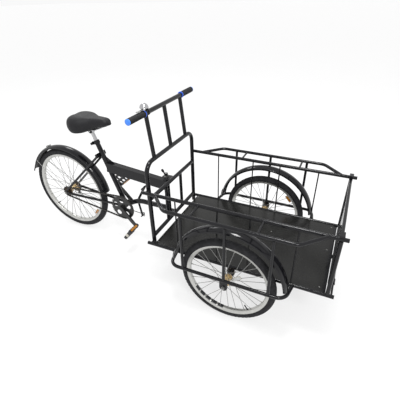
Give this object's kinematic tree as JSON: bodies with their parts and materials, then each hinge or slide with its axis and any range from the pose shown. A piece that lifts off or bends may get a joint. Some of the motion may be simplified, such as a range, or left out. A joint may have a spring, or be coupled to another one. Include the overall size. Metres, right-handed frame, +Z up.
{
  "type": "cargo tricycle",
  "caption": "Front-loading cargo tricycle: open tube-framed box between the front wheels, push-bar hoop, king-pin steering, chain-driven rear wheel, saddle and foot brake.",
  "frame": {"origin": "on the ground, under the middle of the tricycle's length and width", "axes": "+X forward towards the cargo gate, +Y to the rider's left, +Z up"},
  "size_m": [2.2698, 0.878, 1.1131],
  "materials": {
    "black_frame": "satin",
    "floor_black": "gloss",
    "bolt_steel": "satin",
    "grip_black": "matte",
    "bell_chrome": "gloss",
    "tyre_rubber": "matte",
    "rim_silver": "satin",
    "spoke_steel": "satin",
    "hub_gold": "satin",
    "axle_steel": "satin",
    "saddle_vinyl": "matte",
    "post_chrome": "gloss",
    "chain_steel": "satin",
    "pedal_plastic": "matte",
    "crank_steel": "satin"
  },
  "bodies": {
    "cargo_frame": {"bottom_rails": "black_frame", "top_rails": "black_frame", "side_uprights": "black_frame", "floor_members": "black_frame", "floor_sheets": "floor_black", "floor_bolts": "bolt_steel", "hoop": "black_frame", "hoop_bars": "black_frame", "handlebar": "black_frame", "handlebar_posts": "black_frame", "grips": "grip_black", "bell": "bell_chrome", "steering_brackets": "black_frame", "kingpin": "axle_steel", "guard_top_bows": "black_frame", "guard_low_bows": "black_frame", "guard_bars": "black_frame", "front_fenders": "black_frame", "axle_plates": "black_frame", "front_axles": "axle_steel", "gate_hinge_rod": "black_frame"},
    "bell_thumb_lever": {"bell_lever": "bell_chrome"},
    "kingpin_lock": {"lock_lever": "black_frame"},
    "front_gate": {"gate_frame": "black_frame", "gate_panel": "black_frame"},
    "front_right_wheel": {"front_right_tyre": "tyre_rubber", "front_right_rim": "rim_silver", "front_right_spokes": "spoke_steel", "front_right_hub": "hub_gold"},
    "front_left_wheel": {"front_left_tyre": "tyre_rubber", "front_left_rim": "rim_silver", "front_left_spokes": "spoke_steel", "front_left_hub": "hub_gold"},
    "rear_frame": {"head_tube": "black_frame", "bb_shell": "black_frame", "seat_tube": "black_frame", "main_beam": "black_frame", "lower_tube": "black_frame", "rear_stays": "black_frame", "dropouts": "black_frame", "seat_clamp": "black_frame", "rear_axle": "axle_steel", "hub_brake": "black_frame", "rear_fender": "black_frame", "rear_fender_stays": "spoke_steel", "chain": "chain_steel"},
    "seat_post": {"seat_post": "post_chrome"},
    "saddle_unit": {"saddle_bracket": "black_frame", "saddle": "saddle_vinyl"},
    "rear_wheel": {"rear_tyre": "tyre_rubber", "rear_rim": "rim_silver", "rear_spokes": "spoke_steel", "rear_hub": "hub_gold"},
    "freewheel": {"sprocket": "chain_steel"},
    "crankset": {"crank_arms": "crank_steel", "chainring": "black_frame"},
    "right_pedal": {"pedal_right": "pedal_plastic"},
    "left_pedal": {"pedal_left": "pedal_plastic"},
    "foot_brake": {"brake_pedal": "black_frame"},
    "brake_link": {"brake_rod": "spoke_steel"}
  },
  "joints": [
    {"name": "steering", "type": "hinge", "parent": "cargo_frame", "child": "rear_frame", "pos_m": [0.05392, 0, 0.47], "axis": [0, 0, 1], "range_deg": [-40, 40]},
    {"name": "front_right_wheel_spin", "type": "hinge", "parent": "cargo_frame", "child": "front_right_wheel", "pos_m": [0.60792, -0.364, 0.267], "axis": [0, 1, 0], "continuous": true},
    {"name": "front_left_wheel_spin", "type": "hinge", "parent": "cargo_frame", "child": "front_left_wheel", "pos_m": [0.60792, 0.364, 0.267], "axis": [0, 1, 0], "continuous": true},
    {"name": "gate_drop", "type": "hinge", "parent": "cargo_frame", "child": "front_gate", "pos_m": [1.12192, 0, 0.311], "axis": [0, 1, 0], "range_deg": [0, 95]},
    {"name": "bell_lever_push", "type": "hinge", "parent": "cargo_frame", "child": "bell_thumb_lever", "pos_m": [0.07692, -0.209, 1.084], "axis": [0, 0, 1], "range_deg": [0, 25], "stiffness_Nm_per_rad": 0.05},
    {"name": "kingpin_lock_turn", "type": "hinge", "parent": "cargo_frame", "child": "kingpin_lock", "pos_m": [0.05392, 0, 0.618], "axis": [0, 0, 1], "range_deg": [0, 90]},
    {"name": "seat_height", "type": "slide", "parent": "rear_frame", "child": "seat_post", "axis": [-0.337, 0, 0.9415], "range_m": [-0.045, 0.07]},
    {"name": "saddle_tilt", "type": "hinge", "parent": "seat_post", "child": "saddle_unit", "pos_m": [-0.48491, 0, 0.828], "axis": [0, 1, 0], "range_deg": [-10, 10]},
    {"name": "rear_wheel_spin", "type": "hinge", "parent": "rear_frame", "child": "rear_wheel", "pos_m": [-0.79208, 0, 0.325], "axis": [0, 1, 0], "continuous": true},
    {"name": "crank_spin", "type": "hinge", "parent": "rear_frame", "child": "crankset", "pos_m": [-0.29808, 0, 0.306], "axis": [0, 1, 0], "continuous": true},
    {"name": "freewheel_spin", "type": "hinge", "parent": "rear_frame", "child": "freewheel", "pos_m": [-0.79208, 0, 0.325], "axis": [0, 1, 0], "continuous": true},
    {"name": "right_pedal_spin", "type": "hinge", "parent": "crankset", "child": "right_pedal", "pos_m": [-0.18767, -0.116, 0.18338], "axis": [0, 1, 0], "continuous": true},
    {"name": "left_pedal_spin", "type": "hinge", "parent": "crankset", "child": "left_pedal", "pos_m": [-0.40849, 0.116, 0.42862], "axis": [0, 1, 0], "continuous": true},
    {"name": "foot_brake_press", "type": "hinge", "parent": "rear_frame", "child": "foot_brake", "pos_m": [-0.21208, 0.028, 0.343], "axis": [0, 1, 0], "range_deg": [0, 10], "stiffness_Nm_per_rad": 8, "springref_deg": -11.46},
    {"name": "brake_rod_travel", "type": "slide", "parent": "rear_frame", "child": "brake_link", "axis": [-0.9968, 0, 0.0799], "range_m": [0, 0.022]}
  ],
  "couplings": [
    {"joint": "freewheel_spin", "follows": "crank_spin", "ratio": 2.4444},
    {"joint": "brake_rod_travel", "follows": "foot_brake_press", "m_per_rad": 0.123}
  ]
}
